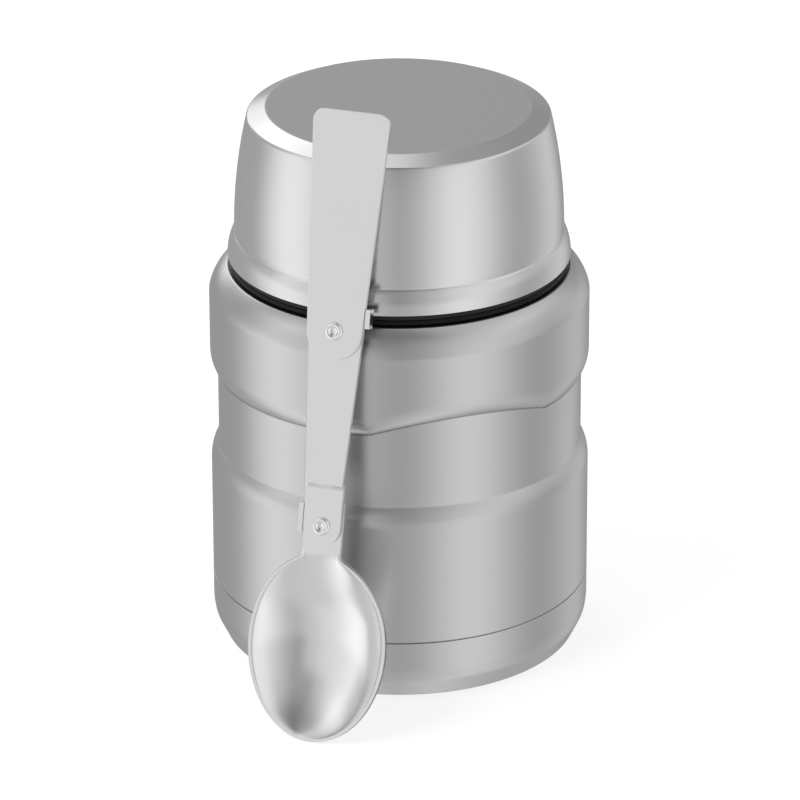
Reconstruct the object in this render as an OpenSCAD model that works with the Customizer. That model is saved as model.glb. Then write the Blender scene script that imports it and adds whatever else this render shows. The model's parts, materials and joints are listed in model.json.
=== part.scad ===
// Insulated food jar with a screw-on bowl lid, a threaded stopper and a folding spoon.
// The jar's axis is Z and it stands on z = 0. The viewer stands at -Y and looks along +Y.

/* [Body] */
// Outer diameter of the body
body_d = 95; // [85:1:110]
// Height of the lower wall, up to where it draws in for the waist
lower_wall_h = 46.5; // [36:0.5:60]
// Height of the curve at each end of the waist
waist_curve_h = 5.4; // [4:0.1:7]
// Height of the straight waist
waist_h = 19.3; // [14:0.1:26]
// Depth of the waist, under the bands above and below it
waist_depth = 1.9; // [1:0.1:2.4]
// Height of the straight band above the waist
band_h = 15.4; // [10:0.1:22]
// Height of the sloping shoulder
shoulder_h = 6.6; // [5:0.1:9]
// Width of the sloping shoulder
shoulder_w = 3.7; // [3:0.1:5]
// Angle of the soft edge between the wall and the shoulder
shoulder_edge = 13; // [0:1:16]
// Thickness of the outer steel sheet
shell_t = 0.6; // [0.5:0.05:0.8]

/* [Raised panel] */
// Direction of the panel's middle, in degrees to the right of the front
panel_turn = 21; // [0:1:90]
// Half of the angle that the panel covers
panel_half_angle = 30.3; // [20:0.1:40]
// How far the panel's arch rises above the waist
panel_rise = 4.1; // [2:0.1:5]

/* [Base] */
// Height of the seam where the base cup meets the outer shell
seam_z = 15.8; // [12:0.1:24]
// Height of the crease above the tapered foot
foot_crease_z = 5.3; // [3:0.1:8]
// How far the crease is drawn in from the wall
foot_crease_in = 0.4; // [0.2:0.1:1]
// How far the foot's outer edge is drawn in from the wall
foot_edge_in = 3; // [2:0.1:5]
// Width of the ring that the jar stands on
foot_ring_w = 3; // [2:0.1:5]
// How far the bottom is raised inside the foot ring
bottom_rise = 1.6; // [1:0.1:2.5]
// Radius of the round cover plate in the bottom
cover_r = 13.9; // [10:0.1:18]
// Thickness of the cover plate
cover_t = 0.6; // [0.4:0.1:1]
// Radius of the pit under the cover plate
pit_r = 7.5; // [5:0.1:9]
// Depth of the pit above the cover plate
pit_depth = 1.6; // [1.2:0.1:2.5]

/* [Inner vessel] */
// Inner diameter of the mouth
mouth_d = 65; // [60:0.5:66]
// Thickness of the inner steel sheet
liner_t = 0.5; // [0.4:0.05:0.7]
// Vacuum gap between the inner vessel and the outer wall
vacuum_gap = 5.4; // [4.5:0.1:8]
// Height of the food space's floor
food_floor_z = 9; // [8:0.1:14]
// Radius of the curve round the floor
food_floor_r = 8; // [4:0.5:12]
// Height of the curve that draws the vessel in to its neck
liner_shoulder_h = 11; // [8:0.5:12]
// Height of the neck above the shoulder
neck_h = 13.4; // [11:0.1:15]
// Vacuum gap between the two walls of the neck
neck_gap = 1.2; // [0.8:0.1:1.5]
// Thickness of the reflecting foil round the vessel
foil_t = 0.1; // [0.05:0.05:0.2]

/* [Threads] */
// Height that a thread stands out of its wall
thread_depth = 0.6; // [0.4:0.1:0.8]
// Width of a thread's foot
thread_w = 1.8; // [1.2:0.1:2.4]
// Number of thread starts
thread_starts = 3; // [2:1:4]
// Angle that one thread covers
thread_sweep = 100; // [60:5:115]
// Slope of the threads, in degrees
thread_slope = 2.3; // [1:0.1:3]
// Radial room between two threads that pass each other
thread_clearance = 0.25; // [0.2:0.05:0.5]

/* [Stopper] */
// Thickness of the stopper's plastic walls
stopper_wall = 1.4; // [1:0.1:1.6]
// Thickness of the flange that shows as a dark line under the lid
flange_t = 1.3; // [1:0.1:2]
// Gap between the flange and the shoulder of the body
flange_gap = 0.3; // [0.2:0.1:0.6]
// Radial room between the plug and the mouth
plug_clearance = 0.7; // [0.4:0.1:1.2]
// How far the plug reaches down into the mouth
plug_depth = 15; // [10:0.5:20]
// Height of the tray wall on top of the stopper
tray_h = 8; // [5:0.5:10]
// Thickness of the stopper's silicone gasket
gasket_t = 1.9; // [1.5:0.1:2.5]
// Thickness of the dark rubber ring under the lid
lid_seal_t = 1.6; // [1.2:0.1:2]

/* [Bowl lid] */
// Height of the flared skirt at the lid's lower edge
skirt_h = 6.2; // [5:0.1:8]
// Height of the lid's curved side, above the skirt
lid_side_h = 30.15; // [26:0.1:36]
// Height of the bevel round the lid's top
lid_bevel_h = 2.05; // [1:0.1:4]
// Thickness of the lid's threaded plastic ring, at its top
ring_wall = 1.25; // [1:0.05:2]
// How far the skirt's lower edge stands out from the crease above it
skirt_flare = 1.7; // [1:0.1:3]
// How far the lid's side draws in from the crease to the lid's upper edge
lid_draw_in = 3.45; // [2.5:0.05:6]
// Width of the bevel round the lid's top
lid_bevel_w = 4.65; // [2:0.05:8]
// Thickness of the lid's steel sheets
lid_t = 0.5; // [0.4:0.05:0.6]
// Radius of the inner bowl's bottom curve
bowl_corner_r = 8; // [5:0.5:11]
// Gap between the lid's outer top and the inner bowl
bowl_top_gap = 2.1; // [1.5:0.1:4]

/* [Spoon] */
// Thickness of the spoon's steel
spoon_t = 1.2; // [1:0.1:1.5]
// Room between two plates that turn on each other
plate_gap = 0.05; // [0.03:0.01:0.1]
// Length of the bowl, up to its neck
bowl_len = 48; // [42:0.1:54]
// Distance from the bowl's neck to the lower rivet
neck_to_rivet = 6.1; // [5:0.1:9]
// Distance between the two rivets
link_len = 48.2; // [42:0.1:54]
// Distance from the upper rivet to the end of the handle
handle_len = 53.5; // [46:0.1:60]
// Distance from the tip to the bowl's widest place
bowl_wide_s = 24; // [22:0.1:27]
// Width of the bowl
bowl_w = 35.5; // [30:0.5:38]
// Depth of the bowl, outside
bowl_depth = 9; // [6:0.1:11]
// Width of the flat land round the bowl's hollow
rim_land = 0.8; // [0.6:0.1:1.2]
// Thickness of the bowl at its edge
rim_t = 1.2; // [0.8:0.1:1.2]
// How far the bowl's edge is set back behind the plate that carries it
bowl_set_back = 2.25; // [0:0.05:3]
// Width of the plate that carries the bowl
tang_w = 9.8; // [9:0.1:11]
// Width of the link at its lower end
link_low_w = 9.6; // [9:0.1:10.5]
// Width of the link at the upper rivet
link_high_w = 13.9; // [12:0.1:15]
// Distance from the lower rivet to the middle of the step in the link
link_step_up = 9.9; // [8.5:0.1:14]
// Width of the handle at the upper rivet
handle_low_w = 14.2; // [13:0.1:15]
// Width of the handle at its upper end
handle_high_w = 19.7; // [16:0.1:22]
// Radius of the handle's upper corners
handle_corner_r = 2.75; // [1:0.05:4]
// Width of the stop tabs at the spoon's two joints
tab_w = 1.1; // [0.8:0.1:1.5]
// Room between a stop tab and the plate that it stops
tab_gap = 0.2; // [0.15:0.05:0.3]
// Length of the stop tab beside the handle
upper_tab_len = 4.7; // [3:0.1:6]
// Length of the stop tab beside the link
lower_tab_len = 7.1; // [5:0.1:8]

/* [Rivets] */
// Radius of the rivets
rivet_r = 1.5; // [1.2:0.05:1.8]
// Radius of the rivets' heads
rivet_head_r = 2.25; // [2:0.05:2.8]
// Height of the rivets' heads
rivet_head_h = 0.75; // [0.5:0.05:0.9]
// Radial room round a rivet in the plate that turns on it
rivet_running = 0.06; // [0.03:0.01:0.1]
// Radial room round a rivet in the plate that holds it
rivet_hold = 0.02; // [0.01:0.01:0.04]

/* [Spoon's place] */
// Direction of the spoon, in degrees to the left of the front
spoon_turn = 20; // [0:1:60]
// Lean of the spoon from upright, towards the jar
spoon_lean = 16.5; // [14:0.1:20]
// Tilt of the spoon to the left, in its own plane
spoon_tilt = 0.67; // [0:0.01:3]
// How far the spoon's foot is to the right of its direction
spoon_side = 2.75; // [0:0.05:6]
// Gap between the handle's back and the lid's edge
lean_gap = 0.3; // [0.2:0.05:0.4]

/* [Hidden] */

$fn = 96;
steel = "silver";
bright_steel = "gainsboro";
black_plastic = "#242424";

// Small common sizes. overrun is how far a cut runs past what it cuts, and bite how far
// two pieces of one solid reach into each other.
fit = 0.1;
seam_gap = 0.3;
lap_h = 2.5;
overrun = 1;
bite = 0.5;

// Body
body_r = body_d / 2;
waist_r = body_r - waist_depth;
waist_low_z = lower_wall_h + waist_curve_h;
waist_high_z = waist_low_z + waist_h;
band_low_z = waist_high_z + waist_curve_h;
band_high_z = band_low_z + band_h;
shoulder_z = band_high_z + shoulder_h;
shoulder_r = body_r - shoulder_w;
arc_steps = 7;

// Base
foot_r = body_r - foot_edge_in;
foot_curve_h = 2.7;
foot_wall_z = foot_crease_z + foot_curve_h;
foot_ramp = 1.2;
pit_slope = 0.6;
ledge_slope = 0.4;
foot_in_r = foot_r - foot_ring_w;
cover_z = bottom_rise;
ledge_z = cover_z + cover_t;
pit_z = ledge_z + pit_depth;
vent_r = 0.8;
bead_r = 2.4;
bead_h = 1;

// Inner vessel and neck
mouth_r = mouth_d / 2;
liner_neck_r = mouth_r + liner_t;
neck_in_r = liner_neck_r + neck_gap;
neck_r = neck_in_r + shell_t;
neck_top_z = shoulder_z + neck_h;
lip_h = 0.6;
lip_z = neck_top_z + lip_h;
liner_r = body_r - shell_t - vacuum_gap;
liner_bottom_z = food_floor_z - liner_t;
liner_neck_drop = 3.5;
liner_neck_z = shoulder_z - liner_neck_drop;
liner_shoulder_z = liner_neck_z - liner_shoulder_h;
foil_gap = 0.05;
foil_above_curve = 2;

// Getter
getter_x = 20;
getter_r = 3.2;
getter_h = 1.3;
clip_t = 0.3;
clip_w = 5;
clip_side_room = 1.2;
clip_foot = 2;

// Stopper
thread_crest_r = neck_r + thread_depth;
skirt_in_r = thread_crest_r + thread_clearance + thread_depth;
skirt_out_r = skirt_in_r + stopper_wall;
flange_z = shoulder_z + flange_gap;
flange_top_z = flange_z + flange_t;
ceiling_z = lip_z + gasket_t;
ceiling_t = stopper_wall + 0.2;
tray_step = 1.6;
tray_floor_z = ceiling_z + ceiling_t;
tray_top_z = tray_floor_z + tray_h;
tray_out_r = skirt_out_r - tray_step;
tray_in_r = tray_out_r - stopper_wall;
plug_r = mouth_r - plug_clearance;
plug_z = lip_z - plug_depth;
plug_chamfer = 2;
plug_fillet = 1;
gasket_in_r = plug_r + 0.2;
gasket_out_r = skirt_in_r - 0.5;
gasket_bevel = 0.5;
gasket_lip_h = 1.2;
gasket_lip_t = 0.3;

// Bowl lid
outer_thread_r = skirt_out_r + thread_depth;
ring_in_r = outer_thread_r + thread_clearance + thread_depth;
ring_gap = 2 * fit;
skirt_z = flange_top_z + lid_seal_t;
lid_crease_z = skirt_z + skirt_h;
lid_edge_z = lid_crease_z + lid_side_h;
lid_top_z = lid_edge_z + lid_bevel_h;
lid_crease_r = ring_in_r + ring_wall + ring_gap + lid_t;
lid_skirt_r = lid_crease_r + skirt_flare;
lid_edge_r = lid_crease_r - lid_draw_in;
lid_top_r = lid_edge_r - lid_bevel_w;
ring_top_z = lid_crease_z - fit;
seal_in_r = outer_thread_r + 0.4;
seal_out_r = lid_skirt_r - 0.75;
flange_r = seal_out_r;
bowl_rim_r = lid_crease_r - lid_t - fit;
bowl_rim_z = lid_crease_z + lid_t;
bowl_rim_slope = 0.8;
bowl_top_z = lid_top_z - lid_t - bowl_top_gap;
bowl_corner_side_r = lid_edge_r - lid_t - fit;

// Spoon. Its own axes are X to the right, Y towards the jar, Z from the tip to the handle.
// The handle's back face lies in the plane y = 0. A name that ends in _s is a distance from the tip.
lower_rivet_s = bowl_len + neck_to_rivet;
upper_rivet_s = lower_rivet_s + link_len;
spoon_len = upper_rivet_s + handle_len;
link_step_s = lower_rivet_s + link_step_up;
link_y = plate_gap;
lobe_y = link_y + spoon_t + plate_gap;
tang_y = lobe_y + spoon_t + plate_gap;
rim_y = tang_y + bowl_set_back;
link_step_len = 3;
link_step_offset = 0.4;
tang_end_s = lower_rivet_s + 6;
link_tab_s = upper_rivet_s + 1.5;
tang_tab_s = lower_rivet_s - 1.9;
tab_proud = 0.3;
handle_end_r = handle_low_w / 2;
handle_corner_s = spoon_len - handle_corner_r;
lobe_r = link_low_w / 2;
neck_drop = 18;
neck_straight = 1.6;
bowl_sides = 24;
bowl_rings = 7;
bowl_fullness = 0.85;
neck_evenness = 0.5;

// The inner face of a sheet, t behind its outer face. The points p follow the outer face,
// with the metal on their left.
function left_of(a, b) = [a[1] - b[1], b[0] - a[0]] / norm(b - a);
function inset(p, t) = [for (i = [0:len(p) - 1])
    let(before = left_of(p[max(i, 1) - 1], p[max(i, 1)]),
        after = left_of(p[min(i, len(p) - 2)], p[min(i, len(p) - 2) + 1]))
    p[i] + t * (before + after) / (1 + before * after)];
function backwards(p) = [for (i = [len(p) - 1:-1:0]) p[i]];

// Points of an arc that leaves a vertical wall at (r0, z0), turned inwards by start, and ends at (r1, z1)
function bulge(r0, z0, r1, z1, steps = arc_steps, start = 0) =
    let(dr = r0 - r1, dz = z1 - z0, half_turn = atan2(dr, abs(dz)) - start,
        radius = norm([dr, dz]) / (2 * sin(half_turn)))
    [for (i = [0:steps]) let(turn = start + 2 * half_turn * i / steps)
        [r0 - radius * (cos(start) - cos(turn)), z0 + sign(dz) * radius * (sin(turn) - sin(start))]];

// Points of a smooth S from (r0, z0) to (r1, z1), vertical at both ends
function s_curve(r0, z0, r1, z1, steps = 10) =
    [for (i = [0:steps]) [r0 + (r1 - r0) * (1 - cos(180 * i / steps)) / 2, z0 + (z1 - z0) * i / steps]];

// Points of a quarter circle from a flat floor at z to a wall at r
function floor_corner(r, z, radius, steps = arc_steps) =
    [for (i = [0:steps]) let(turn = 90 * i / steps)
        [r - radius + radius * sin(turn), z + radius - radius * cos(turn)]];

// A round sheet, whose rim points lead from the end of its outer face to its inner face
module sheet(points, t, rim = []) {
    rotate_extrude() polygon(concat(points, rim, backwards(inset(points, t))));
}

module tube(z0, z1, inner, outer) {
    translate([0, 0, z0]) difference() {
        cylinder(h = z1 - z0, r = outer);
        translate([0, 0, -overrun]) cylinder(h = z1 - z0 + 2 * overrun, r = inner);
    }
}

// Short sloping threads on a wall of radius r. side is 1 for a thread that stands outwards, -1 inwards.
module threads(r, z, side) {
    root = r - side * bite / 2;
    crest = r + side * thread_depth;
    for (i = [0:thread_starts - 1])
        translate([0, 0, z])
        rotate([0, 0, i * 360 / thread_starts])
        rotate([thread_slope, 0, 0])
        rotate([0, 0, -thread_sweep / 2])
        rotate_extrude(angle = thread_sweep)
        polygon([[root, -thread_w / 2], [crest, -thread_w / 5], [crest, thread_w / 5], [root, thread_w / 2]]);
}

// The jar's outer face from the seam up to the mouth
shell_points = concat(
    [[body_r, seam_z + seam_gap / 2]],
    bulge(body_r, lower_wall_h, waist_r, waist_low_z),
    backwards(bulge(body_r, band_low_z, waist_r, waist_high_z)),
    bulge(body_r, band_high_z, shoulder_r, shoulder_z, arc_steps, shoulder_edge),
    [[neck_r, shoulder_z], [neck_r, neck_top_z]]);

// The pocket that lets the waist rise in an arch over the panel
module panel_arch() {
    chord = waist_r * sin(panel_half_angle);
    arch_r = (chord * chord + panel_rise * panel_rise) / (2 * panel_rise);
    intersection() {
        tube(waist_high_z - overrun, band_low_z, waist_r, body_r + overrun);
        translate([0, 0, waist_high_z + panel_rise - arch_r])
            rotate([90, 0, panel_turn])
            cylinder(h = body_r + overrun, r = arch_r, $fn = 240);
        translate([0, 0, waist_high_z - 2 * overrun])
            rotate([0, 0, panel_turn])
            translate([-chord, -body_r - overrun, 0])
            cube([2 * chord, body_r + overrun, panel_rise + 3 * overrun]);
    }
}

// The sector of the jar that holds the panel
module panel_sector() {
    half = body_r * sin(panel_half_angle + 2);
    rotate([0, 0, panel_turn])
        translate([-half, -body_r - overrun, 0])
        cube([2 * half, body_r + overrun, lid_top_z]);
}

// Metal behind the band's lower curve, which is pressed back to the waist inside the arch
module panel_backing() {
    curve = backwards(bulge(body_r - shell_t / 2, band_low_z, waist_r - shell_t / 2, waist_high_z));
    rotate_extrude() polygon(concat([[waist_r - shell_t, waist_high_z]], curve,
        [[body_r - shell_t / 2, band_low_z + shell_t], [waist_r - shell_t, band_low_z + shell_t]]));
}

module outer_shell() {
    color(steel) {
        difference() {
            union() {
                sheet(shell_points, shell_t);
                intersection() {
                    panel_backing();
                    panel_sector();
                }
            }
            panel_arch();
        }
        threads(neck_r, (shoulder_z + neck_top_z) / 2, 1);
    }
}

module base_cup() {
    points = [[vent_r, pit_z], [pit_r, pit_z], [pit_r + pit_slope, ledge_z], [cover_r + fit, ledge_z],
              [cover_r + fit + ledge_slope, cover_z], [foot_in_r - foot_ramp, cover_z], [foot_in_r, 0],
              [foot_r, 0], [body_r - foot_crease_in, foot_crease_z], [body_r, foot_wall_z],
              [body_r, seam_z - seam_gap / 2]];
    color(steel) {
        sheet(points, shell_t);
        // The lap that the outer shell is welded over
        tube(seam_z - lap_h, seam_z - seam_gap / 2, body_r - 2 * shell_t, body_r - shell_t / 2);
        tube(seam_z - lap_h, seam_z + lap_h, body_r - 2 * shell_t, body_r - shell_t - fit / 2);
    }
}

module base_cover() {
    color(steel) translate([0, 0, cover_z]) cylinder(h = cover_t, r = cover_r);
}

// The bead that closes the vent through which the air was drawn out
module vacuum_seal() {
    stem_r = vent_r - fit / 2;
    color("dimgray") rotate_extrude() polygon(concat(
        [[0, pit_z + shell_t], [stem_r, pit_z + shell_t], [stem_r, pit_z], [bead_r, pit_z]],
        [for (i = [1:6]) [bead_r * cos(15 * i), pit_z - bead_h * sin(15 * i)]]));
}

module inner_vessel() {
    points = concat(
        [[0, liner_bottom_z]],
        floor_corner(liner_r, liner_bottom_z, food_floor_r + liner_t),
        s_curve(liner_r, liner_shoulder_z, liner_neck_r, liner_neck_z),
        [[liner_neck_r, neck_top_z]]);
    lip = [[neck_r, neck_top_z], [neck_r, lip_z], [mouth_r, lip_z]];
    color(bright_steel) sheet(points, liner_t, lip);
}

module reflecting_foil() {
    foil_r = liner_r + foil_gap;
    foil_z = liner_bottom_z + food_floor_r + foil_above_curve;
    color("peru") tube(foil_z, liner_shoulder_z, foil_r, foil_r + foil_t);
}

// A bent strip under the vessel's floor, which holds the getter pill against it
module getter_clip() {
    low = -getter_h - fit;
    half = getter_r + clip_side_room;
    end = half + clip_foot;
    color(steel) translate([getter_x, clip_w / 2, liner_bottom_z]) rotate([90, 0, 0])
        linear_extrude(height = clip_w)
        polygon([[-end, 0], [-half, 0], [-half, low], [half, low], [half, 0], [end, 0],
                 [end, -clip_t], [half + clip_t, -clip_t], [half + clip_t, low - clip_t],
                 [-half - clip_t, low - clip_t], [-half - clip_t, -clip_t], [-end, -clip_t]]);
}

module getter_pill() {
    color("gray") translate([getter_x, 0, liner_bottom_z - getter_h]) cylinder(h = getter_h, r = getter_r);
}

module stopper_cap() {
    color(black_plastic) {
        rotate_extrude() polygon([
            [skirt_in_r, flange_z], [flange_r, flange_z], [flange_r, flange_top_z],
            [skirt_out_r, flange_top_z], [skirt_out_r, tray_floor_z - 2 * ceiling_t],
            [tray_out_r, tray_floor_z], [tray_out_r, tray_top_z], [tray_in_r, tray_top_z],
            [tray_in_r, tray_floor_z], [0, tray_floor_z], [0, ceiling_z], [skirt_in_r, ceiling_z]]);
        threads(skirt_in_r, (shoulder_z + neck_top_z) / 2, -1);
        threads(skirt_out_r, (skirt_z + ring_top_z) / 2, 1);
    }
}

module stopper_plug() {
    inner_r = plug_r - stopper_wall;
    inner_z = plug_z + stopper_wall;
    color("#3a3a3c") rotate_extrude() polygon([
        [0, plug_z], [plug_r - plug_chamfer, plug_z], [plug_r, plug_z + plug_chamfer],
        [plug_r, ceiling_z], [inner_r, ceiling_z], [inner_r, inner_z + plug_fillet],
        [inner_r - plug_fillet, inner_z], [0, inner_z]]);
}

module stopper_foam() {
    foam_z = plug_z + stopper_wall + plug_fillet;
    color("ivory") translate([0, 0, foam_z])
        cylinder(h = ceiling_z - foam_z - fit, r = plug_r - stopper_wall - fit);
}

// A flat ring with a thin lip that hangs into the mouth
module stopper_gasket() {
    lip_r = gasket_in_r + gasket_lip_t;
    color("lightgray") rotate_extrude() polygon([
        [gasket_in_r, lip_z - gasket_lip_h], [lip_r, lip_z - gasket_lip_h], [lip_r, lip_z],
        [gasket_out_r - gasket_bevel, lip_z], [gasket_out_r, lip_z + gasket_bevel],
        [gasket_out_r, ceiling_z - gasket_bevel], [gasket_out_r - gasket_bevel, ceiling_z],
        [gasket_in_r, ceiling_z]]);
}

module lid_seal() {
    color("#4a4a4c") tube(flange_top_z, skirt_z, seal_in_r, seal_out_r);
}

// The lid's outer face from its lower edge up to the middle of the top
skirt_steps = 6;
lid_skirt = bulge(lid_skirt_r, skirt_z, lid_crease_r, lid_crease_z, skirt_steps);
lid_points = concat(
    [for (i = [0:skirt_steps - 1]) lid_skirt[i]],
    bulge(lid_crease_r, lid_crease_z, lid_edge_r, lid_edge_z, 12),
    [[lid_top_r, lid_top_z], [0, lid_top_z]]);

module lid_shell() {
    color(steel) sheet(lid_points, lid_t);
}

module lid_bowl() {
    corner = backwards([for (p = floor_corner(bowl_corner_side_r, 0, bowl_corner_r))
        [p[0], bowl_top_z - p[1]]]);
    rim = [[bowl_rim_r, bowl_rim_z], [bowl_rim_r - bowl_rim_slope, bowl_rim_z + bowl_rim_slope]];
    points = concat(rim, corner, [[0, bowl_top_z]]);
    color(bright_steel) sheet(points, lid_t);
}

module lid_ring() {
    low_r = lid_skirt_r - lid_t - ring_gap;
    color(black_plastic) {
        rotate_extrude() polygon([[ring_in_r, skirt_z], [low_r, skirt_z],
            [low_r - skirt_flare, ring_top_z], [ring_in_r, ring_top_z]]);
        threads(ring_in_r, (skirt_z + ring_top_z) / 2, -1);
    }
}

// Half of the handle's width at the distance s from the tip
function handle_half(s) = handle_end_r
    + (handle_high_w / 2 - handle_end_r) * (s - upper_rivet_s) / (handle_corner_s - upper_rivet_s);
upper_tab_in = handle_half(link_tab_s + upper_tab_len) + tab_gap;

// How far the distance s from the tip is on the way from the bowl's widest place (0) to its neck (1)
function to_neck(s) = max(0, min(1, (s - bowl_wide_s) / (bowl_len - neck_straight - bowl_wide_s)));

// Half of the bowl's width there. It follows an oval that runs into the straight neck in a fillet.
function bowl_half(s) =
    let(wide = pow(bowl_w / 2, 4), narrow = pow(tang_w / 2, 4))
    pow(narrow + (wide - narrow) * pow(1 - pow(to_neck(s), 2), 2), 1 / 4);

// The bowl's outline from the neck's right corner, round the tip, to its left corner
upper_right = [for (i = [0:bowl_sides / 2 - 1])
    let(s = bowl_wide_s + (bowl_len - bowl_wide_s) * cos(180 * i / bowl_sides)) [bowl_half(s), s]];
lower_half = [for (i = [0:bowl_sides])
    [bowl_w / 2 * cos(180 * i / bowl_sides), bowl_wide_s - bowl_wide_s * sin(180 * i / bowl_sides)]];
upper_left = [for (p = backwards(upper_right)) [-p[0], p[1]]];
bowl_outline = concat(upper_right, lower_half, upper_left, [[0, bowl_len]]);
bowl_middle = [0, bowl_wide_s];

// Depth of the neck's bend: 0 at the plate that carries the bowl, 1 from neck_drop below it
function dip(s) = let(u = min(1, max(0, (bowl_len - s) / neck_drop))) u * u * (3 - 2 * u);
function edge_y(s) = tang_y + bowl_set_back * dip(s);

// Towards the neck the hollow runs out in an even slope, from 1 at the widest place to 0 at the neck
function run_out(s) =
    let(u = max(0, (s - bowl_wide_s) / (bowl_len - bowl_wide_s)))
    (1 - u * u) / (1 + neck_evenness * u * u);

// Share of the full depth on the way v from the middle (0) to the point q of the outline (1)
function hollow(q, v) =
    let(s = bowl_wide_s + (q[1] - bowl_wide_s) * v)
    let(across = q[1] < bowl_wide_s ? v : q[0] * v / bowl_half(s))
    pow(max(0, 1 - across * across), bowl_fullness) * run_out(s);

// A ring of points. land is how far the outline is taken in, and depth is added behind the edge.
function bowl_ring(v, land, depth) = [for (q = bowl_outline)
    let(d = q - bowl_middle, p = bowl_middle + d * v * (1 - land / norm(d)))
    [p[0], edge_y(p[1]) + depth * hollow(q, v), p[1]]];

bowl_steps = [for (i = [0:bowl_rings - 1]) cos(90 * i / bowl_rings)];
front_rings = [for (v = bowl_steps) each bowl_ring(v, rim_land, bowl_depth - spoon_t)];
back_rings = [for (v = bowl_steps) each
    [for (p = bowl_ring(v, 0, bowl_depth - rim_t)) p + [0, rim_t + (spoon_t - rim_t) * (1 - dip(p[2])), 0]]];
bowl_edge = bowl_ring(1, 0, 0);
bowl_back_y = edge_y(bowl_wide_s) + bowl_depth;
bowl_points = concat(bowl_edge, front_rings, back_rings,
    [[0, bowl_back_y - spoon_t, bowl_wide_s], [0, bowl_back_y, bowl_wide_s]]);

// Two triangles for each gap between two rings of n points, whose first points are a and b
function band(a, b, n) = [for (i = [0:n - 1]) let(j = (i + 1) % n)
    each [[a + i, a + j, b + j], [a + i, b + j, b + i]]];
function fan(a, tip, n) = [for (i = [0:n - 1]) [a + i, a + (i + 1) % n, tip]];
function flipped(faces) = [for (f = faces) [f[2], f[1], f[0]]];

module bowl_shell() {
    n = len(bowl_outline);
    front = n;
    back = n + n * bowl_rings;
    last = n + 2 * n * bowl_rings;
    front_faces = concat(
        band(0, front, n),
        [for (k = [0:bowl_rings - 2]) each band(front + k * n, front + (k + 1) * n, n)],
        fan(front + (bowl_rings - 1) * n, last, n));
    back_faces = concat(
        band(0, back, n),
        [for (k = [0:bowl_rings - 2]) each band(back + k * n, back + (k + 1) * n, n)],
        fan(back + (bowl_rings - 1) * n, last + 1, n));
    polyhedron(points = bowl_points, faces = concat(front_faces, flipped(back_faces)));
}

// How far a point of the spoon's own axes is above the spoon's foot
function height_of(p) =
    (p[2] * cos(spoon_tilt) + p[0] * sin(spoon_tilt)) * cos(spoon_lean) - p[1] * sin(spoon_lean);
spoon_foot_z = -min([for (p = bowl_points) height_of(p)]);

// The handle's plane clears the lid's edge, and the rivets behind it clear the body
function lean_reach(p) = p[0] * cos(spoon_lean) + p[1] * sin(spoon_lean);
rivet_back_y = link_y + spoon_t + rivet_head_h;
body_reach = max([for (p = shell_points) lean_reach(p)]) + rivet_back_y;
lean_plane = max(lean_reach([lid_edge_r, lid_edge_z]), body_reach) + lean_gap;
spoon_foot_y = (spoon_foot_z * sin(spoon_lean) - lean_plane) / cos(spoon_lean);

module on_spoon() {
    rotate([0, 0, -spoon_turn])
        translate([spoon_side, spoon_foot_y, spoon_foot_z])
        rotate([-spoon_lean, 0, 0])
        rotate([0, -spoon_tilt, 0])
        children();
}

// A flat plate of the spoon, from a drawing in X and Z, with its front face at y
module plate(y, t = spoon_t) {
    translate([0, y + t, 0]) rotate([90, 0, 0]) linear_extrude(height = t) children();
}

module rivet_hole(s, room) {
    translate([0, 0, s]) rotate([90, 0, 0]) cylinder(h = bowl_w, r = rivet_r + room, center = true);
}

module block(low, high) {
    translate(low) cube(high - low);
}

module spoon_bowl() {
    tab_in = lobe_r + tab_gap;
    color(bright_steel) on_spoon() {
        bowl_shell();
        difference() {
            plate(tang_y) {
                translate([-tang_w / 2, bowl_len - bite]) square([tang_w, tang_end_s - bowl_len + bite]);
            }
            rivet_hole(lower_rivet_s, rivet_hold);
        }
        // The stop tab, bent forwards beside the link
        tab_end_s = tang_tab_s + lower_tab_len;
        block([-tab_in - tab_w, tang_y, tang_tab_s], [bite - tang_w / 2, tang_y + spoon_t, tab_end_s]);
        block([-tab_in - tab_w, lobe_y - tab_proud, tang_tab_s], [-tab_in, tang_y + spoon_t, tab_end_s]);
    }
}

module link_drawing() {
    translate([0, lower_rivet_s]) circle(r = lobe_r);
    translate([0, upper_rivet_s]) circle(r = link_high_w / 2);
    polygon([[-lobe_r, lower_rivet_s], [lobe_r, lower_rivet_s], [lobe_r, link_step_s],
             [link_high_w / 2, upper_rivet_s], [-link_high_w / 2, upper_rivet_s], [-lobe_r, link_step_s]]);
    // The arm that carries the stop tab
    translate([0, link_tab_s]) square([upper_tab_in + tab_w, upper_tab_len]);
}

// The link's section, with the step that carries its lower end behind the handle's plane
module link_section() {
    low = link_step_s - link_step_len / 2;
    high = link_step_s + link_step_len / 2;
    rotate([90, 0, 90]) linear_extrude(height = bowl_w, center = true)
        polygon([[lobe_y, 0], [lobe_y, low], [link_y, high], [link_y, spoon_len],
                 [link_y + spoon_t, spoon_len], [link_y + spoon_t, high + link_step_offset],
                 [lobe_y + spoon_t, low + link_step_offset], [lobe_y + spoon_t, 0]]);
}

module spoon_link() {
    color(bright_steel) on_spoon() {
        difference() {
            intersection() {
                link_section();
                plate(-spoon_t, bowl_w) link_drawing();
            }
            rivet_hole(lower_rivet_s, rivet_running);
            rivet_hole(upper_rivet_s, rivet_hold);
        }
        // The stop tab, bent forwards beside the handle
        block([upper_tab_in, -spoon_t, link_tab_s],
              [upper_tab_in + tab_w, link_y + spoon_t, link_tab_s + upper_tab_len]);
    }
}

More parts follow.
